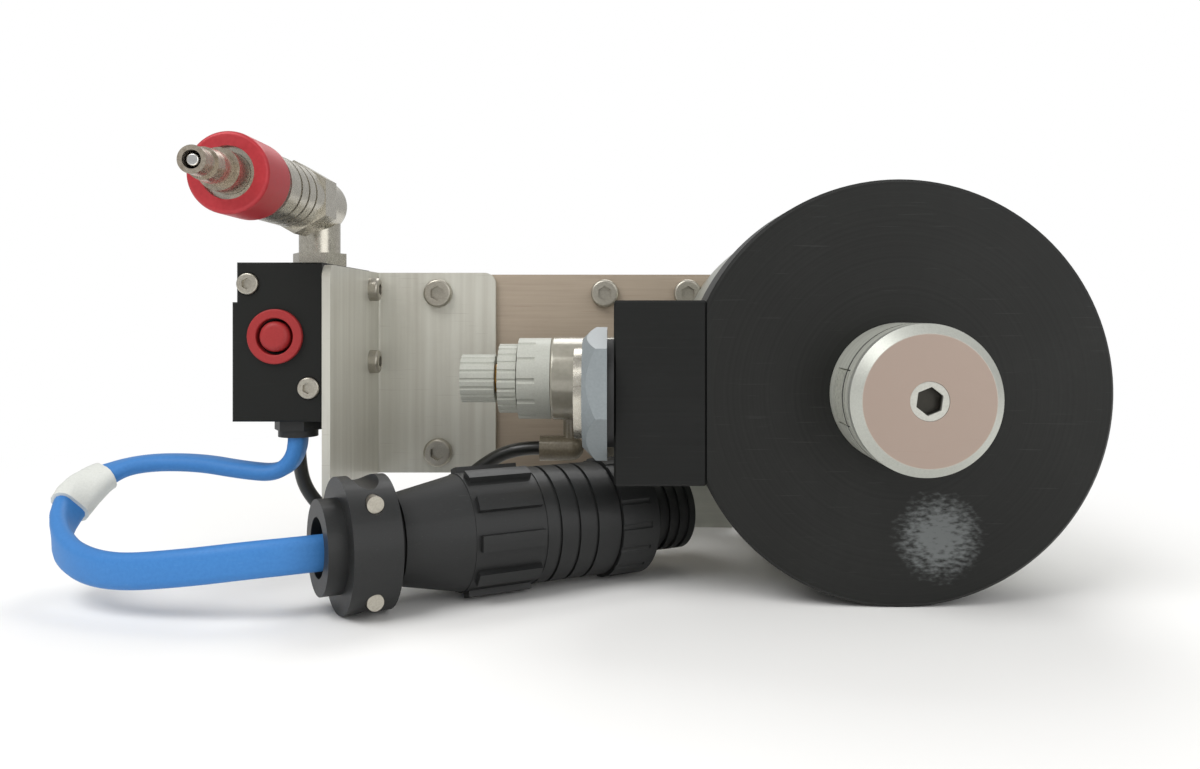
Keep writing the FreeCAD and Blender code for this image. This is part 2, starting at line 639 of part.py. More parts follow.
def make_valve():
    back = VALVE_FRONT + VALVE_D
    body = block(VALVE_LEFT, LEG_LEFT, VALVE_FRONT, back, VALVE_BOTTOM, VALVE_TOP)
    body = body.cut(block(VALVE_LEFT - CUT, VALVE_LEFT + VALVE_STEP, VALVE_FRONT - CUT, back + CUT,
                          VALVE_STEP_Z, VALVE_TOP + CUT))
    front_edges = [e for e in body.Edges if abs(e.CenterOfMass.y - VALVE_FRONT) < 0.01]
    body = body.makeChamfer(0.4, front_edges)
    hole = V(BUTTON_X, VALVE_FRONT - CUT, BUTTON_Z)
    body = body.cut(cyl(BUTTON_RING_R, hole, Y, 1.6 + CUT))
    body = body.cut(cyl(BUTTON_R + AIR, hole, Y, BUTTON_L + BUTTON_TRAVEL + 8.0 + CUT))
    for x, z in VALVE_SCREWS:
        body = body.cut(cyl(M3_HEAD_R + 0.2, V(x, VALVE_FRONT - CUT, z), Y, M3_HEAD_H * 0.5 + CUT))
        body = body.cut(cyl(M3_R, V(x, VALVE_FRONT, z), Y, 12.0))
    body = body.cut(cyl(STEM_IN_R - 1.2, V(INLET_X, INLET_Y, VALVE_TOP - 8.0), Z, 8.0 + CUT))
    for y, z in NUT_PLACES:
        body = body.cut(cyl(2.0, V(LEG_LEFT - 8.0, y, z), X, 8.0 + CUT))
    return body


def make_valve_screws():
    seat = VALVE_FRONT + M3_HEAD_H * 0.5
    return group([socket_screw(V(x, seat, z), Y, 10.0, M3_HEAD_R, M3_HEAD_H, M3_R - FIT) for x, z in VALVE_SCREWS])


def make_button_ring():
    front = V(BUTTON_X, VALVE_FRONT - BUTTON_PROUD, BUTTON_Z)
    bezel = ring(BUTTON_RING_R, BUTTON_GROOVE_R, front, Y, BUTTON_PROUD + 1.6)
    rim = [e for e in bezel.Edges if isinstance(e.Curve, Part.Circle) and e.CenterOfMass.y < front.y + 0.01]
    return bezel.makeFillet(0.4, rim)


def make_button():
    front = VALVE_FRONT - BUTTON_PROUD - 0.6
    button = cyl(BUTTON_R, V(BUTTON_X, front, BUTTON_Z), Y, BUTTON_L)
    rim = [e for e in button.Edges if isinstance(e.Curve, Part.Circle) and e.CenterOfMass.y < front + 0.01]
    return button.makeFillet(1.6, rim)


def make_button_spring():
    back = VALVE_FRONT + BUTTON_L + BUTTON_TRAVEL + 8.0
    front = VALVE_FRONT - BUTTON_PROUD - 0.6 + BUTTON_L
    return coil(2.6, 0.35, V(BUTTON_X, front, BUTTON_Z), Y, back - front, 7)


def make_gland():
    nut = prism(6.4, 6, V(GLAND_X, GLAND_Y, VALVE_BOTTOM), V(0, 0, -1), GLAND_L * 0.6)
    tail = cyl(5.2, V(GLAND_X, GLAND_Y, VALVE_BOTTOM - GLAND_L * 0.6), V(0, 0, -1), GLAND_L * 0.4)
    return nut.fuse(tail)


def make_tube_fitting():
    start = V(FIT_X, FIT_Y, VALVE_BOTTOM)
    nut = prism(5.0, 6, start, V(0, 0, -1), 3.5)
    return nut.fuse(cyl(3.4, start - Z * 3.5, V(0, 0, -1), 2.5))


# ---- inlet elbow and quick coupler --------------------------------------------

def inlet(y):
    return V(INLET_X, y, INLET_Z)


def make_elbow():
    base = V(INLET_X, INLET_Y, VALVE_TOP)
    nut = prism(STEM_IN_R + 1.9, 6, base, Z, 3.6)
    thread = cyl(STEM_IN_R - 1.2, base - Z * 6.0, Z, 6.5)
    stem = cyl(STEM_IN_R, base + Z * 3.6, Z, INLET_Z - VALVE_TOP - 3.6)
    knee = Part.makeSphere(ELBOW_R, inlet(INLET_Y))
    arm = cyl(ELBOW_R, inlet(COUPLER_BACK), Y, INLET_Y - COUPLER_BACK)
    return nut.fuse([thread, stem, knee, arm])


def make_coupler():
    """Coupler body: wrench hex, barrel with grooves and the guide for the sliding collar."""
    hexagon = prism(COUPLER_R + 0.6, 6, inlet(COUPLER_BACK - 10.0), Y, 10.0)
    barrel = cyl(COUPLER_R - 0.8, inlet(COUPLER_FRONT), Y, COUPLER_BACK - 10.0 - COUPLER_FRONT)
    for y in (8.0, 14.0, 20.0):
        barrel = barrel.cut(ring(COUPLER_R, COUPLER_R - 1.6, inlet(y), Y, 1.2))
    guide = cyl(GUIDE_R, inlet(COLLAR_FRONT + 1.5), Y, COUPLER_FRONT - COLLAR_FRONT - 1.5)
    bore = cyl(NIPPLE_R + FIT, inlet(COLLAR_FRONT), Y, 14.0)
    return hexagon.fuse([barrel, guide]).cut(bore)


def make_collar():
    """Release collar: slides back over the guide to free the nipple."""
    collar = ring(COLLAR_R, GUIDE_R + FIT, inlet(COLLAR_FRONT), Y, COLLAR_BACK - COLLAR_FRONT)
    rims = [e for e in collar.Edges if isinstance(e.Curve, Part.Circle) and e.Curve.Radius > COLLAR_R - 0.1]
    return collar.makeFillet(0.9, rims)


def make_collar_spring():
    return coil(GUIDE_R + 1.0, 0.4, inlet(COLLAR_BACK), Y, COUPLER_FRONT - COLLAR_BACK, 2)


def make_nipple():
    """Plug nipple: stepped nose with a blind bore for the poppet."""
    back = COLLAR_FRONT + 13.0
    shank = cyl(NIPPLE_R, inlet(COLLAR_FRONT - 5.0), Y, back - COLLAR_FRONT + 5.0)
    neck = cyl(NIPPLE_R - 1.0, inlet(COLLAR_FRONT - 10.0), Y, 5.0)
    nose = cone(NIPPLE_TIP_R + 0.5, NIPPLE_R - 1.0, inlet(COLLAR_FRONT - 13.0), Y, 3.0)
    tip = cyl(NIPPLE_TIP_R, inlet(NIPPLE_TIP), Y, COLLAR_FRONT - 13.0 - NIPPLE_TIP)
    body = shank.fuse([neck, nose, tip])
    body = body.cut(cyl(POPPET_BORE_R, inlet(NIPPLE_TIP - CUT), Y, 14.0 + CUT))
    return body.cut(cyl(POPPET_R + 0.1, inlet(NIPPLE_TIP), Y, 17.0))


def make_poppet():
    head = cyl(POPPET_R, inlet(NIPPLE_TIP + 0.4), Y, 14.0)
    rim = [e for e in head.Edges if isinstance(e.Curve, Part.Circle) and e.Curve.Center.y < NIPPLE_TIP + 0.5]
    return head.makeFillet(0.4, rim)


# ---- cable connector ------------------------------------------------------------

def con(t, side=0.0, up=0.0):
    """Point on the connector: along its axis, sideways and up."""
    return CON_START + CON_DIR * t + CON_DIR.cross(Z) * side + Z * up


def make_clamp():
    body = cyl(COLLAR_END_R, con(-8.0), CON_DIR, 5.0)
    disc = cyl(CLAMP_R, con(-3.6), CON_DIR, 11.0)
    for up in (-1, 1):
        hole = cyl(2.0, con(2.0, -20.0, up * 10.8), CON_DIR.cross(Z), 40.0)
        waist = cyl(3.4, con(2.0, -20.0, up * 16.9), CON_DIR.cross(Z), 40.0)
        disc = disc.cut(hole).cut(waist)
    tail = cyl(9.5, con(7.4), CON_DIR, 2.2)
    return body.fuse([disc, tail]).cut(cyl(CLAMP_BORE_R, con(-8.0 - CUT), CON_DIR, 8.0 + CUT))


def make_clamp_screws_small():
    """Saddle screws that close the cable clamp."""
    return group([cyl(1.9, con(2.0, -12.0, up * 10.8), CON_DIR.cross(Z), 24.0) for up in (-1, 1)])


def make_backshell():
    taper = cone(10.7, 14.0, con(9.6), CON_DIR, 15.4)
    grip = cyl(SHELL_R - 0.8, con(25.0), CON_DIR, 18.0)
    shell = taper.fuse(grip)
    for i in range(10):
        angle = math.radians(i * 36.0 + 18.0)
        rib = Part.makeBox(16.0, 3.8, 2.6, V(0, -1.9, SHELL_R - 2.0))
        rib.rotate(V(0, 0, 0), X, math.degrees(angle))
        rib.rotate(V(0, 0, 0), Z, CON_YAW)
        rib.translate(con(26.0))
        shell = shell.fuse(rib)
    shell = shell.common(cyl(-FLOOR_Z + CON_START.z, con(9.0), CON_DIR, 40.0))
    return shell.cut(cyl(9.0, con(9.0), CON_DIR, 30.0))


def make_connector_body():
    barrel = cyl(CON_BODY_R, con(43.0), CON_DIR, 20.0)
    for i in range(3):
        barrel = barrel.cut(ring(CON_BODY_R + CUT, CON_BODY_R - 0.6, con(46.0 + 5.0 * i), CON_DIR, 0.8))
    neck = cyl(MATE_R - 2.0, con(63.0), CON_DIR, 23.0)
    return barrel.fuse(neck).cut(cyl(7.4, con(66.0), CON_DIR, 22.0))


def make_coupling_ring():
    outer = cyl(-FLOOR_Z + CON_START.z - 0.35, con(63.3), CON_DIR, 10.4)
    outer = outer.fuse(cyl(MATE_R, con(73.0), CON_DIR, 14.6))
    outer = outer.cut(cyl(MATE_R - 2.0 + 0.1, con(62.0), CON_DIR, 30.0))
    for i in range(4):
        groove = ring(MATE_R + CUT, MATE_R - 0.7, con(75.5 + 3.0 * i), CON_DIR, 1.3)
        outer = outer.cut(groove)
    for i in range(16):
        angle = math.radians(i * 22.5)
        r = -FLOOR_Z + CON_START.z + 0.4
        outer = outer.cut(cyl(1.1, con(63.0, r * math.cos(angle), r * math.sin(angle)), CON_DIR, 8.5))
    return outer


def make_insert():
    disc = cyl(7.4 - FIT, con(66.0), CON_DIR, 10.0)
    return disc


def make_pins():
    pins = [cyl(0.8, con(76.0), CON_DIR, PIN_L)]
    for i in range(6):
        angle = math.radians(60.0 * i)
        pins.append(cyl(0.8, con(76.0, 4.4 * math.cos(angle), 4.4 * math.sin(angle)), CON_DIR, PIN_L))
    return group(pins)


NODES = {
    "flange": make_flange,
    "cylinder_body": make_body,
    "rear_cover": make_rear_cover,
    "cover_seal": make_cover_seal,
    "guide_bush": make_bush,
    "piston": make_piston,
    "piston_seal": make_piston_seal,
    "piston_rod": make_rod,
    "return_spring": make_return_spring,
    "mandrel_sleeve": make_sleeve,
    "drive_wedge": make_wedge,
    "jaw_garter": make_garter,
    "nose_cap": make_nose_cap,
    "nose_screw": make_nose_screw,
    "port_block": make_port_block,
    "block_screws": make_block_screws,
    "vent_body": make_vent_body,
    "vent_seal": make_vent_seal,
    "vent_ring": make_vent_ring,
    "vent_filter": make_vent_filter,
    "regulator_nipple": make_reg_nipple,
    "regulator_body": make_reg_body,
    "regulator_collar": make_reg_collar,
    "regulator_bonnet": make_bonnet,
    "lock_ring": make_lock_ring,
    "regulator_knob": make_knob,
    "regulator_elbow": make_reg_elbow,
    "rear_plate": make_plate,
    "plate_screws": make_plate_screws,
    "body_screws": make_body_screws,
    "valve_bracket": make_bracket,
    "bracket_screws": make_bracket_screws,
    "valve_mount_screws": make_valve_mount_screws,
    "arm_adapter": make_adapter,
    "arm_clamp_screws": make_clamp_screws,
    "valve_block": make_valve,
    "valve_screws": make_valve_screws,
    "button_ring": make_button_ring,
    "push_button": make_button,
    "button_spring": make_button_spring,
    "cable_gland": make_gland,
    "valve_tube_fitting": make_tube_fitting,
    "inlet_elbow": make_elbow,
    "coupler_body": make_coupler,
    "release_collar": make_collar,
    "collar_spring": make_collar_spring,
    "plug_nipple": make_nipple,
    "nipple_poppet": make_poppet,
    "cable_clamp": make_clamp,
    "cable_clamp_screws": make_clamp_screws_small,
    "connector_backshell": make_backshell,
    "connector_body": make_connector_body,
    "coupling_ring": make_coupling_ring,
    "contact_insert": make_insert,
    "contact_pins": make_pins,
}


def main():
    os.makedirs("parts", exist_ok=True)
    shapes = {name: make() for name, make in NODES.items()}
    for number, angle in enumerate(JAW_ANGLES, 1):
        shapes["jaw_%d" % number] = make_jaw(angle)
    shapes["signal_cable"] = line_tube("signal_cable", CABLE_ROUTE, CABLE_W)
    shapes["air_tube"] = line_tube("air_tube", TUBE_ROUTE, TUBE_D)
    for name, shape in shapes.items():
        if not shape.isValid():
            print("invalid", name)
        shape.exportStep("parts/%s.step" % name)
    print(len(shapes), "nodes written")


main()
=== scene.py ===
"""Finishes, free lines, floor, light and camera for the pneumatic gripper head.

Metres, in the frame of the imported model: the mandrel points to -Y and +Z is up.
"""
import logging
import math
from dataclasses import dataclass, field
from enum import Enum

import bpy
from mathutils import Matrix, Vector


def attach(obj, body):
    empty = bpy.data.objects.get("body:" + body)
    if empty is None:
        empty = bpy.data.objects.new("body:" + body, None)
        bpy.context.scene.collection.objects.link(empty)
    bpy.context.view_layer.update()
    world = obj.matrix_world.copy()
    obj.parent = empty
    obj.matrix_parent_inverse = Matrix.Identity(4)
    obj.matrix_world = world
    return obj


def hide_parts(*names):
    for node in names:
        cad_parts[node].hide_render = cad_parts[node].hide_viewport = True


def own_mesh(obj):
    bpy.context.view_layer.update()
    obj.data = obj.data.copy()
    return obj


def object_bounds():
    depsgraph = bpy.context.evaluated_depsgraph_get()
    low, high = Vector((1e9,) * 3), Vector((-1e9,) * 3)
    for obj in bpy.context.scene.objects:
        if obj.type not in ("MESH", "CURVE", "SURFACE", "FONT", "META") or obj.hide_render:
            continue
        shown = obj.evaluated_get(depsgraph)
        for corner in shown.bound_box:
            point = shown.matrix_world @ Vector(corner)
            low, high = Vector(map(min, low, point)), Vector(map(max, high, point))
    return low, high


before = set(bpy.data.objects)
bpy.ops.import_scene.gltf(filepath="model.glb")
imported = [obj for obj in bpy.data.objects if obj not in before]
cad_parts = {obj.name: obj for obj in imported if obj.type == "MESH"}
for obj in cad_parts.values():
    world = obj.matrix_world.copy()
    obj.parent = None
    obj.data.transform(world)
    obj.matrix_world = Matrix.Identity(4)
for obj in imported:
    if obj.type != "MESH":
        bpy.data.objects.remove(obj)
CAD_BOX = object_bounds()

logging.basicConfig(level=logging.INFO, format="%(message)s")
LOG = logging.getLogger("gripper")

MM = 0.001
Colour = tuple[float, float, float]
Point = tuple[float, float, float]
Socket = bpy.types.NodeSocket


def linear(red: int, green: int, blue: int) -> Colour:
    """Screen colour (0 to 255) as linear values.

    Args:
        red: the red value as a screen shows it.
        green: the green value.
        blue: the blue value.

    Returns:
        The three linear values.
    """
    def one(value: int) -> float:
        """One channel as a linear value."""
        part = value / 255.0
        return part / 12.92 if part <= 0.04045 else ((part + 0.055) / 1.055) ** 2.4
    return one(red), one(green), one(blue)


# ---- shader effects shared by the finishes ------------------------------------

class Grain(Enum):
    """Direction of the machining or moulding marks of a finish."""

    TURNED = "turned about the mandrel axis"
    ALONG_X = "brushed along X"
    ALONG_Z = "brushed along Z"
    AROUND = "even in every direction"


BRUSHED = 0.03              # how much coarser brush marks are along their own direction
STRETCH: dict[Grain, Point] = {
    Grain.ALONG_X: (BRUSHED, 1.0, 1.0),
    Grain.ALONG_Z: (1.0, 1.0, BRUSHED),
    Grain.AROUND: (1.0, 1.0, 1.0),
}

FINE_SCALE = 900.0          # how fine machining marks are unless a finish says so
GRAIN_DETAIL = 6.0
RINGS_DETAIL = 5.0
SMUDGE_SCALE = 40.0
SMUDGE_DETAIL = 3.0
SMUDGE_EDGES = (0.35, 0.75)  # noise values between which a smudge fades in
GRIT_SCALE = 600.0
GRIT_DETAIL = 2.0
SCRATCH_SCALE = 70.0
SCRATCH_DETAIL = 1.0
SCRATCH_TURNS = (0.45, 2.0)  # the two ways that scratches lie, in radians about X
SCRATCH_TILT = (1.3, 0.7)    # their turns about Y and Z, as shares of the turn about X
SCRATCH_STRETCH = 42.0       # how many times longer than wide a scratch is
SCRATCH_EDGES = (0.72, 0.78)
RUB_TURN = 0.35              # slope of the rubbed streaks, in radians about Y
RUB_STRETCH = (0.7, 1.0, 1.5)
RUB_SCALE = 760.0
RUB_DETAIL = 10.0
RUB_EDGES = (0.16, 0.42)


@dataclass
class Effect:
    """A shader node group under construction, which puts out one mask."""

    name: str
    inputs: dict[str, float | Point]
    tree: bpy.types.NodeTree = field(init=False)

    def __post_init__(self) -> None:
        """Makes the empty group with its named sockets."""
        self.tree = bpy.data.node_groups.new(self.name, "ShaderNodeTree")
        for name, value in self.inputs.items():
            kind = "NodeSocketVector" if isinstance(value, tuple) else "NodeSocketFloat"
            socket = self.tree.interface.new_socket(name=name, in_out="INPUT", socket_type=kind)
            socket.default_value = value
        self.tree.interface.new_socket(name="Mask", in_out="OUTPUT", socket_type="NodeSocketFloat")
        self.source = self.tree.nodes.new("NodeGroupInput").outputs
        self.sink = self.tree.nodes.new("NodeGroupOutput").inputs["Mask"]

    def node(self, kind: str, **values: str) -> bpy.types.Node:
        """Adds a node.

        Args:
            kind: the node's type.
            values: its properties by name.

        Returns:
            The node.
        """
        made = self.tree.nodes.new(kind)
        for name, value in values.items():
            setattr(made, name, value)
        return made

    def join(self, value: Socket | float | Point, slot: Socket) -> None:
        """Links a socket to a slot, or sets the slot to a number or a vector.

        Args:
            value: the socket, number or vector.
            slot: the input that takes it.
        """
        if isinstance(value, (int, float, tuple)):
            slot.default_value = value
        else:
            self.tree.links.new(value, slot)

    def math(self, operation: str, first: Socket | float, second: Socket | float = 0.0) -> Socket:
        """Adds a math node.

        Args:
            operation: what it does.
            first: its first value.
            second: its second value, where it takes two.

        Returns:
            The result's socket.
        """
        made = self.node("ShaderNodeMath", operation=operation)
        self.join(first, made.inputs[0])
        self.join(second, made.inputs[1])
        return made.outputs[0]

    def mapped(self, turn: Socket | Point, stretch: Socket | Point) -> Socket:
        """Turns and stretches the coordinates.

        Args:
            turn: the turn about each axis, in radians.
            stretch: the factor along each axis.

        Returns:
            The new coordinates.
        """
        mapping = self.node("ShaderNodeMapping")
        self.join(self.source["Vector"], mapping.inputs["Vector"])
        self.join(turn, mapping.inputs["Rotation"])
        self.join(stretch, mapping.inputs["Scale"])
        return mapping.outputs[0]

    def noise(self, vector: Socket, scale: Socket | float, detail: float) -> Socket:
        """Adds a noise texture.

        Args:
            vector: the coordinates.
            scale: how fine it is.
            detail: how many finer layers it has.

        Returns:
            Its value.
        """
        made = self.node("ShaderNodeTexNoise")
        made.inputs["Detail"].default_value = detail
        self.join(vector, made.inputs["Vector"])
        self.join(scale, made.inputs["Scale"])
        return made.outputs[0]

    def threshold(self, value: Socket, low: Socket | float, high: Socket | float) -> Socket:
        """Adds a smooth step.

        Args:
            value: what is compared.
            low: where the step starts.
            high: where it ends.

        Returns:
            A mask that is 0 below the step and 1 above it.
        """
        made = self.node("ShaderNodeMapRange", interpolation_type="SMOOTHSTEP")
        self.join(low, made.inputs["From Min"])
        self.join(high, made.inputs["From Max"])
        self.join(value, made.inputs["Value"])
        return made.outputs[0]

    def close(self, mask: Socket) -> bpy.types.NodeTree:
        """Puts the mask out and returns the group."""
        self.join(mask, self.sink)
        return self.tree


ORIGIN = (0.0, 0.0, 0.0)
EVEN = (1.0, 1.0, 1.0)


def grain_effect() -> bpy.types.NodeTree:
    """Fine marks stretched along one direction, as brushing or moulding leaves.

    Returns:
        The node group.
    """
    effect = Effect("fine_grain", {"Vector": ORIGIN, "Stretch": EVEN, "Scale": FINE_SCALE})
    stretched = effect.mapped(ORIGIN, effect.source["Stretch"])
    return effect.close(effect.noise(stretched, effect.source["Scale"], GRAIN_DETAIL))


def rings_effect() -> bpy.types.NodeTree:
    """Concentric turning marks about the mandrel axis.

    Returns:
        The node group.
    """
    effect = Effect("turned_rings", {"Vector": ORIGIN, "Scale": FINE_SCALE})
    parts = effect.node("ShaderNodeSeparateXYZ")
    effect.join(effect.source["Vector"], parts.inputs[0])
    squares = [effect.math("MULTIPLY", parts.outputs[i], parts.outputs[i]) for i in (0, 2)]
    radius = effect.math("SQRT", effect.math("ADD", *squares))
    place = effect.node("ShaderNodeCombineXYZ")
    effect.join(radius, place.inputs[0])
    effect.join(parts.outputs[1], place.inputs[1])
    rings = effect.node("ShaderNodeTexNoise", noise_dimensions="2D")
    rings.inputs["Detail"].default_value = RINGS_DETAIL
    effect.join(place.outputs[0], rings.inputs["Vector"])
    effect.join(effect.source["Scale"], rings.inputs["Scale"])
    return effect.close(rings.outputs[0])


def smudge_effect() -> bpy.types.NodeTree:
    """Soft uneven patches of handling and dust.

    Returns:
        The node group.
    """
    effect = Effect("smudges", {"Vector": ORIGIN, "Scale": SMUDGE_SCALE})
    patches = effect.noise(effect.source["Vector"], effect.source["Scale"], SMUDGE_DETAIL)
    grit = effect.noise(effect.source["Vector"], GRIT_SCALE, GRIT_DETAIL)
    return effect.close(effect.math("MULTIPLY", effect.threshold(patches, *SMUDGE_EDGES), grit))


def scratch_effect() -> bpy.types.NodeTree:
    """Thin broken scratches that lie two ways.

    Returns:
        The node group.
    """
    effect = Effect("scratches", {"Vector": ORIGIN, "Scale": SCRATCH_SCALE})
    lines = []
    for turn in SCRATCH_TURNS:
        lying = effect.mapped((turn, turn * SCRATCH_TILT[0], turn * SCRATCH_TILT[1]),
                              (1.0, SCRATCH_STRETCH, SCRATCH_STRETCH))
        streak = effect.noise(lying, effect.source["Scale"], SCRATCH_DETAIL)
        lines.append(effect.threshold(streak, *SCRATCH_EDGES))
    return effect.close(effect.math("MAXIMUM", *lines))


def scuff_and_shade_effect() -> bpy.types.NodeTree:
    """One patch about a centre: rubbed in streaks, or a plain disc where Solid is 1. The plain disc on
    the nose screw is painted shade.

    Returns:
        The node group.
    """
    effect = Effect("scuff_patch", {"Vector": ORIGIN, "Centre": ORIGIN, "Radius": 0.01,
                                    "Solid": 0.0, "Low": RUB_EDGES[0], "High": RUB_EDGES[1]})
    away = effect.node("ShaderNodeVectorMath", operation="DISTANCE")
    effect.join(effect.source["Vector"], away.inputs[0])
    effect.join(effect.source["Centre"], away.inputs[1])
    share = effect.math("DIVIDE", away.outputs["Value"], effect.source["Radius"])
    near = effect.math("SUBTRACT", 1.0, share)
    streaks = effect.noise(effect.mapped((0.0, RUB_TURN, 0.0), RUB_STRETCH), RUB_SCALE, RUB_DETAIL)
    cover = effect.math("MAXIMUM", streaks, effect.source["Solid"])
    patch = effect.math("MULTIPLY", near, cover)
    return effect.close(effect.threshold(patch, effect.source["Low"], effect.source["High"]))


class Effects:
    """The shared node groups, each built once."""

    def __init__(self) -> None:
        """Builds every group."""
        self.grain = grain_effect()
        self.rings = rings_effect()
        self.smudge = smudge_effect()
        self.scratch = scratch_effect()
        self.scuff = scuff_and_shade_effect()


# ---- finishes -----------------------------------------------------------------

RELIEF_DEPTH = 0.05 * MM
SMUDGE_SHARE = 0.5          # how much of a finish's wear shows in its smudges


@dataclass(frozen=True)
class ScuffAndShadePatch:
    """A patch on a finish: where, how wide, what colour shows and how evenly. It is rubbed wear on the
    flange and painted shade on the recessed nose screw.
    """

    centre: Point
    radius: float
    colour: Colour
    share: float = 0.5
    solid: float = 0.0
    low: float = RUB_EDGES[0]
    high: float = RUB_EDGES[1]


@dataclass
class Surface:
    """A material's nodes while its finish is put together."""

    name: str

    def __post_init__(self) -> None:
        """Makes the material with its shader."""
        self.material = bpy.data.materials.new(self.name)
        self.material.use_nodes = True
        self.tree = self.material.node_tree
        self.shader = self.tree.nodes["Principled BSDF"]
        self.place = self.tree.nodes.new("ShaderNodeTexCoord").outputs["Object"]

    def effect(self, group: bpy.types.NodeTree, **values: float | Point) -> Socket:
        """Places a shared effect.

        Args:
            group: the effect.
            values: its own values by the names of its inputs.

        Returns:
            Its mask.
        """
        placed = self.tree.nodes.new("ShaderNodeGroup")
        placed.node_tree = group
        self.tree.links.new(self.place, placed.inputs["Vector"])
        for name, value in values.items():
            placed.inputs[name].default_value = value
        return placed.outputs["Mask"]

    def blend(self, first: Socket | Colour, second: Colour, mask: Socket, share: float) -> Socket:
        """Mixes two colours.

        Args:
            first: the colour where the mask is 0.
            second: the colour that the mask brings in.
            mask: where it comes in.
            share: how much of it shows where the mask is 1.

        Returns:
            The mixed colour.
        """
        part = self.tree.nodes.new("ShaderNodeMath")
        part.operation = "MULTIPLY"
        part.inputs[1].default_value = share
        self.tree.links.new(mask, part.inputs[0])
        mix = self.tree.nodes.new("ShaderNodeMix")
        mix.data_type = "RGBA"
        self.tree.links.new(part.outputs[0], mix.inputs["Factor"])
        below, above = mix.inputs[6], mix.inputs[7]
        above.default_value = (*second, 1.0)
        if isinstance(first, tuple):
            below.default_value = (*first, 1.0)
        else:
            self.tree.links.new(first, below)
        return mix.outputs[2]

    def gloss(self, marks: Socket, smooth: float, rough: float) -> None:
        """Lets the roughness follow the marks.

        Args:
            marks: the mask of the machining marks.
            smooth: the roughness where it is 0.
            rough: the roughness where it is 1.
        """
        gloss = self.tree.nodes.new("ShaderNodeMapRange")
        gloss.inputs["To Min"].default_value = smooth
        gloss.inputs["To Max"].default_value = rough
        self.tree.links.new(marks, gloss.inputs["Value"])
        self.tree.links.new(gloss.outputs[0], self.shader.inputs["Roughness"])

    def relief(self, marks: Socket, strength: float) -> None:
        """Lets the marks show as fine relief.

        Args:
            marks: the mask of the machining marks.
            strength: how much they show.
        """
        relief = self.tree.nodes.new("ShaderNodeBump")
        relief.inputs["Strength"].default_value = strength
        relief.inputs["Distance"].default_value = RELIEF_DEPTH
        self.tree.links.new(marks, relief.inputs["Height"])
        self.tree.links.new(relief.outputs["Normal"], self.shader.inputs["Normal"])


@dataclass(frozen=True)
class Finish:
    """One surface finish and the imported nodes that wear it."""

    name: str
    nodes: tuple[str, ...]
    colour: Colour
    tone: Colour
    metallic: float = 0.0
    smooth: float = 0.35
    rough: float = 0.5
    grain: Grain = Grain.AROUND
    scale: float = FINE_SCALE
    bump: float = 0.1
    wear: float = 0.3
    wear_colour: Colour = (0.5, 0.5, 0.5)
    coat: float = 0.0
    scuff: ScuffAndShadePatch | None = None
    transmission: float = 0.0
    specular: float = 0.5

    def marks(self, surface: Surface, effects: Effects) -> Socket:
        """Places the machining marks.

        Args:
            surface: the material that gets them.
            effects: the shared node groups.

        Returns:
            Their mask.
        """
        if self.grain is Grain.TURNED:
            return surface.effect(effects.rings, Scale=self.scale)
        return surface.effect(effects.grain, Stretch=STRETCH[self.grain], Scale=self.scale)

    def build(self, effects: Effects) -> bpy.types.Material:
        """Makes the material.

        Args:
            effects: the shared node groups.

        Returns:
            The finished material.
        """
        surface = Surface(self.name)
        marks = self.marks(surface, effects)
        colour = surface.blend(self.colour, self.tone, marks, 1.0)
        smudges = surface.effect(effects.smudge)
        colour = surface.blend(colour, self.wear_colour, smudges, self.wear * SMUDGE_SHARE)
        colour = surface.blend(colour, self.wear_colour, surface.effect(effects.scratch), self.wear)
        # patch colour: rubbed wear on the flange, painted shade on the nose screw, a plain warmer disc
        # on the nose cap
        if self.scuff:
            patch = surface.effect(effects.scuff, Centre=self.scuff.centre, Radius=self.scuff.radius,
                                   Solid=self.scuff.solid, Low=self.scuff.low, High=self.scuff.high)
            colour = surface.blend(colour, self.scuff.colour, patch, self.scuff.share)
        surface.tree.links.new(colour, surface.shader.inputs["Base Color"])
        surface.gloss(marks, self.smooth, self.rough)
        surface.relief(marks, self.bump)
        for socket, value in (("Metallic", self.metallic), ("Coat Weight", self.coat),
                              ("Transmission Weight", self.transmission),
                              ("Specular IOR Level", self.specular)):
            surface.shader.inputs[socket].default_value = value
        return surface.material


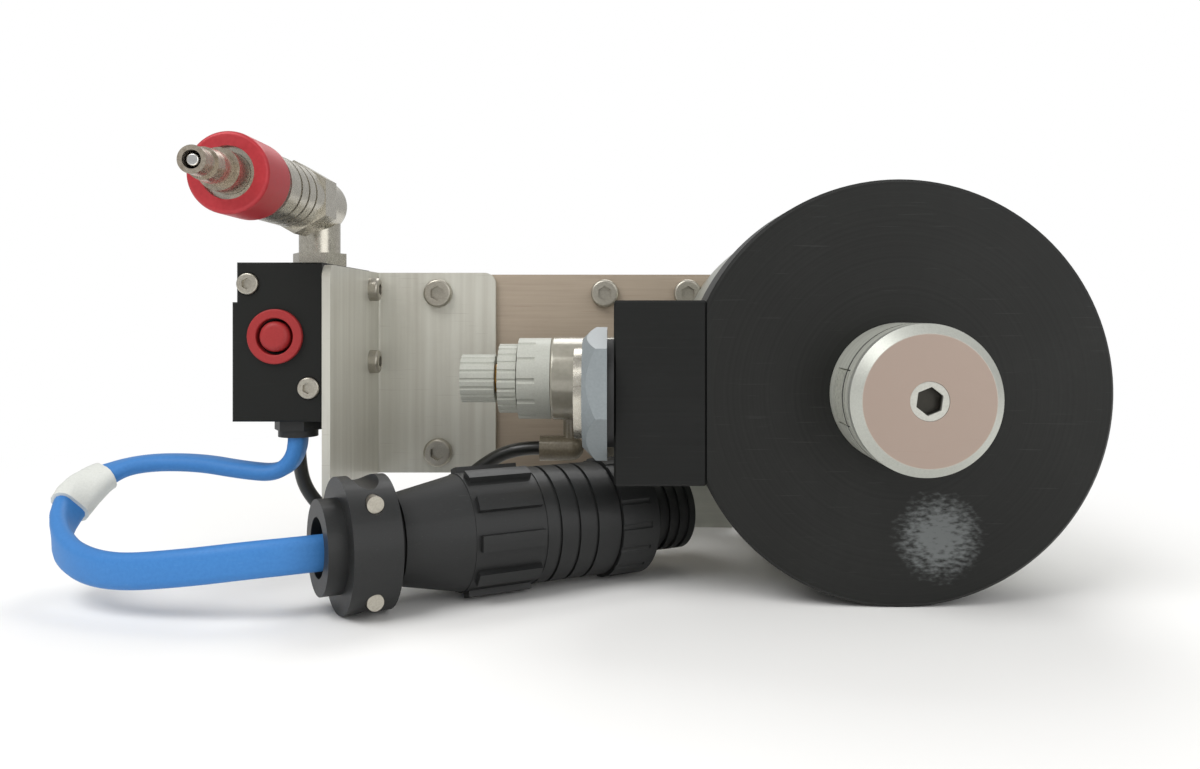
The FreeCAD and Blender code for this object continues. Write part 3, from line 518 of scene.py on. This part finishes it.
FINISHES: tuple[Finish, ...] = (
    Finish("turned_black_anodising", ("flange",),
           colour=linear(16, 16, 15), tone=linear(32, 33, 31), smooth=0.36, rough=0.52,
           grain=Grain.TURNED, scale=1400.0, bump=0.3, wear=0.10, wear_colour=linear(95, 97, 95),
           scuff=ScuffAndShadePatch(centre=(0.009, 0.0, -0.0335), radius=0.0165,
                       colour=linear(132, 136, 136), share=0.6),
           specular=0.25),
    Finish("block_black_anodising", ("port_block",),
           colour=linear(13, 14, 13), tone=linear(27, 28, 27), smooth=0.36, rough=0.52,
           grain=Grain.ALONG_X, scale=1100.0, bump=0.3, wear=0.08, wear_colour=linear(80, 80, 80),
           specular=0.22),
    Finish("valve_black_anodising", ("valve_block",),
           colour=linear(19, 20, 18), tone=linear(29, 30, 28), smooth=0.45, rough=0.62,
           grain=Grain.AROUND, scale=3000.0, bump=0.1, wear=0.06, wear_colour=linear(70, 70, 70),
           specular=0.22),
    Finish("turned_aluminium", ("cylinder_body", "rear_cover", "piston"),
           colour=linear(170, 172, 164), tone=linear(208, 210, 202), metallic=0.75, smooth=0.3,
           rough=0.45, grain=Grain.ALONG_X, scale=500.0, bump=0.1, wear=0.1,
           wear_colour=linear(140, 140, 135)),
    Finish("milled_aluminium", ("arm_adapter",),
           colour=linear(160, 162, 154), tone=linear(196, 197, 188), metallic=0.75, smooth=0.34,
           rough=0.5, grain=Grain.ALONG_X, scale=420.0, bump=0.15, wear=0.15,
           wear_colour=linear(130, 130, 125)),
    Finish("nose_steel", ("nose_cap",),
           colour=linear(176, 178, 170), tone=linear(206, 208, 200), metallic=0.55, smooth=0.35,
           rough=0.5, grain=Grain.AROUND, scale=2600.0, bump=0.1, wear=0.25,
           wear_colour=linear(120, 118, 112),
           # a plain warmer, slightly darker disc over the front of the cap
           scuff=ScuffAndShadePatch(centre=(0.0, -0.0219, 0.0), radius=0.0148,
                       colour=linear(158, 138, 126), share=0.9, solid=1.0, low=0.02, high=0.045)),
    Finish("nose_screw_steel", ("nose_screw",),
           colour=linear(170, 170, 162), tone=linear(204, 204, 196), metallic=0.6, smooth=0.3,
           rough=0.45, grain=Grain.AROUND, scale=2600.0, bump=0.1, wear=0.25,
           wear_colour=linear(120, 118, 112),
           # painted shade: a plain dark disc over the screw head, which sits in the recess of the nose
           # cap
           scuff=ScuffAndShadePatch(centre=(0.0, -0.0182, 0.0), radius=0.0043,
                       colour=linear(34, 30, 22), share=0.95, solid=1.0, low=0.03, high=0.14)),
    Finish("sleeve_steel", ("mandrel_sleeve", "drive_wedge", "piston_rod"),
           colour=linear(176, 177, 165), tone=linear(232, 234, 224), metallic=0.3, smooth=0.3,
           rough=0.5, grain=Grain.TURNED, scale=1100.0, bump=0.3, wear=0.5,
           wear_colour=linear(58, 58, 50)),
    Finish("jaw_steel", ("jaw_1", "jaw_2", "jaw_3"),
           colour=linear(150, 150, 140), tone=linear(226, 228, 216), metallic=0.3, smooth=0.34,
           rough=0.55, grain=Grain.AROUND, scale=1500.0, bump=0.4, wear=0.7,
           wear_colour=linear(40, 40, 34)),
    Finish("screw_steel",
           ("plate_screws", "body_screws", "bracket_screws", "valve_mount_screws",
            "arm_clamp_screws", "block_screws", "valve_screws", "cable_clamp_screws"),
           colour=linear(150, 144, 132), tone=linear(196, 192, 180), metallic=0.85, smooth=0.26,
           rough=0.42, grain=Grain.AROUND, scale=2600.0, bump=0.08, wear=0.3,
           wear_colour=linear(95, 90, 82)),
    Finish("brushed_plate", ("rear_plate",),
           colour=linear(164, 150, 133), tone=linear(188, 173, 155), metallic=0.3, smooth=0.32,
           rough=0.5, grain=Grain.ALONG_X, scale=1500.0, bump=0.1, wear=0.3,
           wear_colour=linear(148, 122, 106)),
    Finish("brushed_bracket", ("valve_bracket",),
           colour=linear(182, 178, 166), tone=linear(226, 226, 216), metallic=0.3, smooth=0.3,
           rough=0.48, grain=Grain.ALONG_Z, scale=420.0, bump=0.12, wear=0.22,
           wear_colour=linear(120, 104, 92)),
    Finish("spring_wire", ("return_spring", "button_spring", "collar_spring"),
           colour=linear(130, 130, 130), tone=linear(180, 180, 178), metallic=0.95, smooth=0.25,
           rough=0.4, grain=Grain.AROUND, scale=2600.0, bump=0.05, wear=0.2,
           wear_colour=linear(90, 88, 84)),
    Finish("seal_rubber", ("piston_seal", "cover_seal", "jaw_garter", "vent_seal"),
           colour=linear(22, 22, 22), tone=linear(38, 38, 38), smooth=0.5, rough=0.7,
           grain=Grain.AROUND, scale=2400.0, bump=0.1, wear=0.2, wear_colour=linear(80, 80, 78)),
    Finish("sintered_bronze", ("guide_bush", "vent_filter"),
           colour=linear(140, 112, 70), tone=linear(190, 160, 110), metallic=0.8, smooth=0.45,
           rough=0.7, grain=Grain.AROUND, scale=4000.0, bump=0.5, wear=0.3,
           wear_colour=linear(90, 75, 50)),
    Finish("grey_hex_lacquer", ("vent_body",),
           colour=linear(120, 127, 130), tone=linear(138, 145, 147), smooth=0.38, rough=0.5,
           grain=Grain.AROUND, scale=1800.0, bump=0.08, wear=0.12, wear_colour=linear(95, 100, 102),
           coat=0.1),
    Finish("nickel_plating",
           ("vent_ring", "regulator_nipple", "inlet_elbow", "coupler_body", "valve_tube_fitting"),
           colour=linear(172, 167, 155), tone=linear(216, 212, 200), metallic=0.85, smooth=0.18,
           rough=0.36, grain=Grain.AROUND, scale=700.0, bump=0.08, wear=0.3,
           wear_colour=linear(120, 108, 90)),
    Finish("poppet_steel", ("nipple_poppet",),
           colour=linear(205, 205, 204), tone=linear(235, 235, 232), metallic=0.95, smooth=0.12,
           rough=0.25, grain=Grain.AROUND, scale=2600.0, bump=0.05, wear=0.1,
           wear_colour=linear(120, 118, 112)),
    Finish("smoked_clear_body", ("regulator_body",),
           colour=linear(172, 168, 152), tone=linear(204, 200, 186), metallic=0.2, smooth=0.14,
           rough=0.28, grain=Grain.AROUND, scale=700.0, bump=0.08, wear=0.2,
           wear_colour=linear(110, 100, 84), coat=0.4, transmission=0.35),
    Finish("light_grey_moulding", ("regulator_collar", "lock_ring", "regulator_knob"),
           colour=linear(174, 175, 166), tone=linear(202, 204, 194), smooth=0.42, rough=0.55,
           grain=Grain.AROUND, scale=2000.0, bump=0.08, wear=0.25, wear_colour=linear(125, 125, 116),
           coat=0.05),
    Finish("turned_brass", ("regulator_bonnet", "contact_pins"),
           colour=linear(150, 108, 52), tone=linear(190, 150, 84), metallic=0.9, smooth=0.22,
           rough=0.42, grain=Grain.AROUND, scale=1800.0, bump=0.1, wear=0.3,
           wear_colour=linear(110, 80, 40)),
    Finish("smoked_elbow", ("regulator_elbow",),
           colour=linear(104, 96, 80), tone=linear(150, 140, 120), metallic=0.1, smooth=0.15,
           rough=0.3, grain=Grain.AROUND, scale=1500.0, bump=0.08, wear=0.15,
           wear_colour=linear(90, 84, 70), coat=0.3),
    Finish("red_anodising", ("release_collar",),
           colour=linear(160, 30, 38), tone=linear(188, 50, 58), metallic=0.2, smooth=0.34,
           rough=0.5, grain=Grain.AROUND, scale=1200.0, bump=0.12, wear=0.3,
           wear_colour=linear(190, 96, 100)),
    Finish("tinted_nipple", ("plug_nipple",),
           colour=linear(146, 132, 114), tone=linear(206, 198, 184), metallic=0.85, smooth=0.18,
           rough=0.36, grain=Grain.AROUND, scale=1100.0, bump=0.08, wear=0.3,
           wear_colour=linear(70, 62, 54)),
    Finish("red_moulding", ("button_ring", "push_button"),
           colour=linear(144, 34, 36), tone=linear(166, 50, 50), smooth=0.42, rough=0.55,
           grain=Grain.AROUND, scale=2000.0, bump=0.08, wear=0.15, wear_colour=linear(110, 28, 30),
           specular=0.35),
    Finish("connector_moulding",
           ("cable_clamp", "connector_backshell", "connector_body", "coupling_ring",
            "contact_insert", "cable_gland"),
           colour=linear(20, 21, 21), tone=linear(34, 35, 35), smooth=0.42, rough=0.58,
           grain=Grain.AROUND, scale=2400.0, bump=0.12, wear=0.10, wear_colour=linear(90, 90, 88),
           coat=0.05, specular=0.4),
    Finish("blue_jacket", (),
           colour=linear(50, 116, 184), tone=linear(66, 132, 198), smooth=0.45, rough=0.58,
           grain=Grain.AROUND, scale=1300.0, bump=0.1, wear=0.10, wear_colour=linear(120, 160, 200),
           specular=0.35),
    Finish("blank_sleeve", (),
           colour=linear(204, 206, 200), tone=linear(224, 226, 220), smooth=0.42, rough=0.52,
           grain=Grain.AROUND, scale=1800.0, bump=0.08, wear=0.3, wear_colour=linear(160, 162, 158)),
    Finish("black_polyurethane", (),
           colour=linear(20, 20, 18), tone=linear(34, 34, 30), smooth=0.28, rough=0.42,
           grain=Grain.AROUND, scale=900.0, bump=0.08, wear=0.1, wear_colour=linear(80, 80, 80),
           coat=0.2),
)


class Paintshop:
    """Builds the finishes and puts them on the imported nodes."""

    def __init__(self) -> None:
        """Builds every material once."""
        effects = Effects()
        self.materials = {finish.name: finish.build(effects) for finish in FINISHES}

    def dress(self, piece: bpy.types.Object, finish: str) -> None:
        """Gives one object a single finish.

        Args:
            piece: the object.
            finish: the finish's name.
        """
        piece.data.materials.clear()
        piece.data.materials.append(self.materials[finish])

    def dress_nodes(self) -> None:
        """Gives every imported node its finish."""
        for finish in FINISHES:
            for node in finish.nodes:
                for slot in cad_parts[node].material_slots:
                    slot.material = self.materials[finish.name]
                LOG.info("%s: %s", node, finish.name)


# ---- free lines ---------------------------------------------------------------

CABLE_ROUTE: tuple[Point, ...] = (
    (-151.5, 35.5, -14.2), (-151.5, 35.5, -19.2), (-156.5, 35.4, -24.2), (-165.5, 35.0, -23.4),
    (-178.0, 34.0, -21.0), (-192.2, 31.5, -20.8), (-199.6, 25.5, -23.4),
    (-202.6, 17.5, -28.2), (-200.5, 7.0, -34.6), (-191.8, -2.0, -38.6),
    (-179.5, -8.0, -39.8), (-163.0, -11.0, -38.0),
    (-148.5, -11.5, -36.2), (-137.0, -8.7, -35.6), (-126.9, -3.1, -35.6),
)
TUBE_ROUTE: tuple[Point, ...] = (
    (-158.5, 58.0, -15.7), (-158.5, 58.0, -24.0), (-156.5, 58.2, -33.0),
    (-149.0, 58.8, -41.0), (-137.0, 59.3, -44.5), (-124.5, 59.0, -42.0),
    (-113.5, 58.0, -33.0), (-104.0, 56.5, -24.5), (-95.0, 54.7, -20.0),
    (-88.0, 54.7, -20.0),
)
STEPS_ALONG = 12            # points between two control points of a line
STEPS_ROUND = 8             # extra points on each quarter of a round line
UP = Vector((0.0, 0.0, 1.0))
BACK = Vector((0.0, 1.0, 0.0))


def spline(name: str, route: tuple[Point, ...], radius: float) -> bpy.types.Object:
    """Smooth curve whose control points are a route's points.

    Args:
        name: the object's name.
        route: the points, in millimetres.
        radius: the line's radius in metres, or 0 for its bare centre line.

    Returns:
        The curve object.
    """
    data = bpy.data.curves.new(name, "CURVE")
    data.dimensions = "3D"
    data.resolution_u = STEPS_ALONG
    data.bevel_depth = radius
    data.bevel_resolution = STEPS_ROUND
    data.use_fill_caps = True
    line = data.splines.new("NURBS")
    line.points.add(len(route) - 1)
    for point, place in zip(line.points, route):
        point.co = (*(value * MM for value in place), 1.0)
    line.order_u = 3
    line.use_endpoint_u = True
    made = bpy.data.objects.new(name, data)
    bpy.context.scene.collection.objects.link(made)
    return made


def centre_line(route: tuple[Point, ...]) -> list[Vector]:
    """Points along a route's smooth curve.

    Args:
        route: the route's points, in millimetres.

    Returns:
        The points in metres, in order.
    """
    guide = spline("guide_line", route, 0.0)
    bpy.context.view_layer.update()
    mesh = bpy.data.meshes.new_from_object(guide)
    points = [vertex.co.copy() for vertex in mesh.vertices]
    bpy.data.objects.remove(guide)
    bpy.data.meshes.remove(mesh)
    return points


def line_length(points: list[Vector]) -> float:
    """Length of a run of points."""
    return sum((b - a).length for a, b in zip(points, points[1:]))


def face_outwards(piece: bpy.types.Object, smooth_below: float = math.radians(40.0)) -> None:
    """Turns a piece's faces outwards and shades its gentle edges smooth.

    Args:
        piece: the mesh object.
        smooth_below: the angle up to which an edge is smooth, in radians.
    """
    bpy.ops.object.select_all(action="DESELECT")
    bpy.context.view_layer.objects.active = piece
    piece.select_set(True)
    bpy.ops.object.mode_set(mode="EDIT")
    bpy.ops.mesh.select_all(action="SELECT")
    bpy.ops.mesh.normals_make_consistent(inside=False)
    bpy.ops.object.mode_set(mode="OBJECT")
    bpy.ops.object.shade_smooth_by_angle(angle=smooth_below)
    piece.select_set(False)


@dataclass
class FlatCable:
    """The flat blue cable and the blank sleeve on it."""

    width: float = 8.5 * MM
    thickness: float = 4.2 * MM
    sleeve_grow: float = 0.9 * MM
    sleeve_span: tuple[float, float] = (0.41, 0.52)
    twist_span: tuple[float, float] = (0.36, 0.62)
    upright_below: float = 0.2      # level part of the heading under which a stretch counts as upright
    first_stretch: float = 0.3      # share of the line that keeps its width turned to the back
    corner_steps: int = 6

    def section(self, grow: float) -> list[tuple[float, float]]:
        """Round-edged outline across the cable.

        Args:
            grow: how much larger than the cable it is.

        Returns:
            The outline's offsets along the cable's width and its thickness.
        """
        half_width, half_thick = self.width / 2 + grow, self.thickness / 2 + grow
        flat = half_width - half_thick
        outline = []
        for side in (1, -1):
            for step in range(self.corner_steps + 1):
                angle = math.pi * (step / self.corner_steps - 0.5)
                along = flat + half_thick * math.cos(angle)
                outline.append((side * along, side * half_thick * math.sin(angle)))
        return outline

    def across(self, heading: Vector, share: float) -> tuple[Vector, Vector]:
        """Directions of the cable's width and thickness.

        Args:
            heading: the direction of the line.
            share: how far along it the place is, from 0 to 1.

        Returns:
            The width's direction and the thickness's.
        """
        level = heading.cross(UP)
        if level.length < self.upright_below:
            level = BACK.copy()
        level.normalize()
        if level.y < 0 and share < self.first_stretch:
            level.negate()
        upright = level.cross(heading).normalized()
        start, end = self.twist_span
        twist = min(max((share - start) / (end - start), 0.0), 1.0)
        turn = math.pi / 2 * twist * twist * (3 - 2 * twist)
        wide = level * math.cos(turn) + upright * math.sin(turn)
        return wide, wide.cross(heading)

    def loft(self, name: str, points: list[Vector], span: tuple[float, float],
             grow: float) -> bpy.types.Object:
        """Closed tube of the flat section along part of the centre line.

        Args:
            name: the object's name.
            points: the centre line.
            span: the part of it that is covered, from 0 to 1.
            grow: how much larger than the cable the section is.

        Returns:
            The mesh object.
        """
        last = len(points) - 1
        used = [i for i in range(len(points)) if span[0] <= i / last <= span[1]]
        outline = self.section(grow)
        vertices, faces = [], []
        for i in used:
            heading = (points[min(i + 1, last)] - points[max(i - 1, 0)]).normalized()
            wide, thin = self.across(heading, i / last)
            vertices += [points[i] + wide * a + thin * b for a, b in outline]
        count = len(outline)
        for row in range(len(used) - 1):
            near, far = row * count, (row + 1) * count
            for k in range(count):
                after = (k + 1) % count
                faces.append((near + k, near + after, far + after, far + k))
        faces.append(tuple(range(count))[::-1])
        faces.append(tuple(range((len(used) - 1) * count, len(used) * count)))
        data = bpy.data.meshes.new(name)
        data.from_pydata(vertices, [], faces)
        made = bpy.data.objects.new(name, data)
        bpy.context.scene.collection.objects.link(made)
        face_outwards(made)
        return made

    def build(self, shop: Paintshop) -> None:
        """Args:
            shop: the finishes.
        """
        points = centre_line(CABLE_ROUTE)
        jacket = self.loft("cable_jacket", points, (0.0, 1.0), 0.0)
        sleeve = self.loft("cable_sleeve", points, self.sleeve_span, self.sleeve_grow)
        shop.dress(jacket, "blue_jacket")
        shop.dress(sleeve, "blank_sleeve")
        for piece in (jacket, sleeve):
            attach(piece, "root")
            LOG.info("%s: made", piece.name)
        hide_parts("signal_cable")
        LOG.info("cable_jacket: %.3f m", line_length(points))


@dataclass
class AirTube:
    """The black air tube from the valve to the regulator's elbow."""

    diameter: float = 4.0 * MM

    def build(self, shop: Paintshop) -> None:
        """Args:
            shop: the finishes.
        """
        points = centre_line(TUBE_ROUTE)
        tube = spline("air_tube_line", TUBE_ROUTE, self.diameter / 2)
        shop.dress(tube, "black_polyurethane")
        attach(tube, "root")
        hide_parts("air_tube")
        LOG.info("air_tube_line: %.3f m", line_length(points))


# ---- springs ------------------------------------------------------------------

@dataclass(frozen=True)
class Spring:
    """A packed spring that shortens towards its fixed end as its joint moves, in millimetres."""

    node: str
    joint: str
    fixed: float
    length: float
    travel: float

    def build(self) -> None:
        """Gives the spring's object its own copy of its mesh."""
        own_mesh(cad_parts[self.node])


SPRINGS = (
    Spring("return_spring", "draw_slide", fixed=18.0, length=30.0, travel=4.0),
    Spring("button_spring", "button_press", fixed=43.8, length=12.4, travel=2.5),
    Spring("collar_spring", "collar_slide", fixed=1.0, length=3.3, travel=3.0),
)


# ---- floor, light and camera --------------------------------------------------

@dataclass(frozen=True)
class Lamp:
    """One square area lamp: where it hangs, its side in metres and its power in watts."""

    name: str
    place: Point
    size: float
    power: float

    def hang(self, aim: Point) -> None:
        """Adds the lamp to the scene, turned to a point.

        Args:
            aim: the point.
        """
        light = bpy.data.lights.new(self.name, "AREA")
        light.size = self.size
        light.energy = self.power
        lamp = bpy.data.objects.new(self.name, light)
        bpy.context.scene.collection.objects.link(lamp)
        lamp.location = self.place
        lamp.rotation_euler = (Vector(aim) - Vector(self.place)).to_track_quat("-Z", "Y").to_euler()


LAMPS = (
    Lamp("key", (-0.5, -0.45, 0.75), size=0.6, power=5.6),
    Lamp("fill", (0.55, -0.7, 0.35), size=0.8, power=3.0),
    Lamp("rim", (0.1, 0.7, 0.8), size=0.6, power=4.0),
)


@dataclass
class Studio:
    """Pale floor, white surroundings, soft lamps and the camera."""

    floor_size: float = 8.0
    floor_colour: Colour = (0.93, 0.925, 0.91)
    floor_rough: float = 0.9
    floor_specular: float = 0.1
    middle: Point = (-0.08, 0.03, 0.0)          # the middle of the lit floor
    fade: tuple[float, float] = (0.13, 0.34)    # where the floor starts and ends turning white
    ambient: float = 0.5
    aim: Point = (-0.06, 0.03, 0.0)
    eye: Point = (-67.0 * MM, -233.1 * MM, 18.5 * MM)
    shift: tuple[float, float] = (-0.01083, -0.05875)
    lens: float = 30.0
    sensor: float = 36.0
    nearest: float = 0.01

    def floor(self) -> None:
        """Pale floor at the object's lowest point."""
        bpy.ops.object.select_all(action="DESELECT")
        level = CAD_BOX[0][2]
        bpy.ops.mesh.primitive_plane_add(size=self.floor_size, location=(0.0, 0.0, level))
        plane = bpy.context.object
        plane.name = "floor"
        bpy.ops.object.transform_apply(location=True, rotation=True, scale=True)
        plane.data.materials.append(self.floor_material(level))

    def floor_material(self, level: float) -> bpy.types.Material:
        """Pale matt surface that turns plain white away from the object.

        Args:
            level: the floor's height.

        Returns:
            The material.
        """
        material = bpy.data.materials.new("pale_floor")
        material.use_nodes = True
        tree = material.node_tree
        shader = tree.nodes["Principled BSDF"]
        shader.inputs["Roughness"].default_value = self.floor_rough
        shader.inputs["Specular IOR Level"].default_value = self.floor_specular
        shader.inputs["Base Color"].default_value = (*self.floor_colour, 1.0)
        away = tree.nodes.new("ShaderNodeVectorMath")
        away.operation = "DISTANCE"
        away.inputs[1].default_value = (*self.middle[:2], level)
        tree.links.new(tree.nodes.new("ShaderNodeTexCoord").outputs["Object"], away.inputs[0])
        far = tree.nodes.new("ShaderNodeMapRange")
        far.interpolation_type = "SMOOTHSTEP"
        far.inputs["From Min"].default_value, far.inputs["From Max"].default_value = self.fade
        tree.links.new(away.outputs["Value"], far.inputs["Value"])
        seen = tree.nodes.new("ShaderNodeMath")
        seen.operation = "MULTIPLY"
        tree.links.new(far.outputs[0], seen.inputs[0])
        tree.links.new(tree.nodes.new("ShaderNodeLightPath").outputs["Is Camera Ray"], seen.inputs[1])
        white = tree.nodes.new("ShaderNodeEmission")
        mixed = tree.nodes.new("ShaderNodeMixShader")
        for source, slot in zip((seen, shader, white), mixed.inputs):
            tree.links.new(source.outputs[0], slot)
        tree.links.new(mixed.outputs[0], tree.nodes["Material Output"].inputs["Surface"])
        return material

    def surroundings(self) -> None:
        """World that is white to the camera and through clear plastic, and dimmer as a light."""
        world = bpy.data.worlds.new("studio")
        bpy.context.scene.world = world
        world.use_nodes = True
        tree = world.node_tree
        back = tree.nodes["Background"]
        back.inputs["Color"].default_value = (1.0, 1.0, 1.0, 1.0)
        paths = tree.nodes.new("ShaderNodeLightPath")
        seen = tree.nodes.new("ShaderNodeMath")
        seen.operation = "MAXIMUM"
        tree.links.new(paths.outputs["Is Camera Ray"], seen.inputs[0])
        tree.links.new(paths.outputs["Is Transmission Ray"], seen.inputs[1])
        strength = tree.nodes.new("ShaderNodeMapRange")
        strength.inputs["To Min"].default_value = self.ambient
        strength.inputs["To Max"].default_value = 1.0
        tree.links.new(seen.outputs[0], strength.inputs["Value"])
        tree.links.new(strength.outputs[0], back.inputs["Strength"])

    def camera(self) -> None:
        """Level camera close in front, with its view shifted down and a little to the left."""
        data = bpy.data.cameras.new("camera")
        data.lens = self.lens
        data.sensor_width = self.sensor
        data.shift_x, data.shift_y = self.shift
        data.clip_start = self.nearest
        camera = bpy.data.objects.new("camera", data)
        bpy.context.scene.collection.objects.link(camera)
        camera.location = self.eye
        camera.rotation_euler = (math.pi / 2, 0.0, 0.0)
        bpy.context.scene.camera = camera

    def build(self) -> None:
        """Sets the whole studio up."""
        self.floor()
        self.surroundings()
        for lamp in LAMPS:
            lamp.hang(self.aim)
        self.camera()
        bpy.context.scene.view_settings.view_transform = "Standard"
        LOG.info("studio: %d lamps", len(LAMPS))


def main() -> None:
    """Builds everything in order."""
    shop = Paintshop()
    shop.dress_nodes()
    FlatCable().build(shop)
    AirTube().build(shop)
    for spring in SPRINGS:
        spring.build()
    Studio().build()
    bpy.context.view_layer.update()


if __name__ == "__main__":
    main()
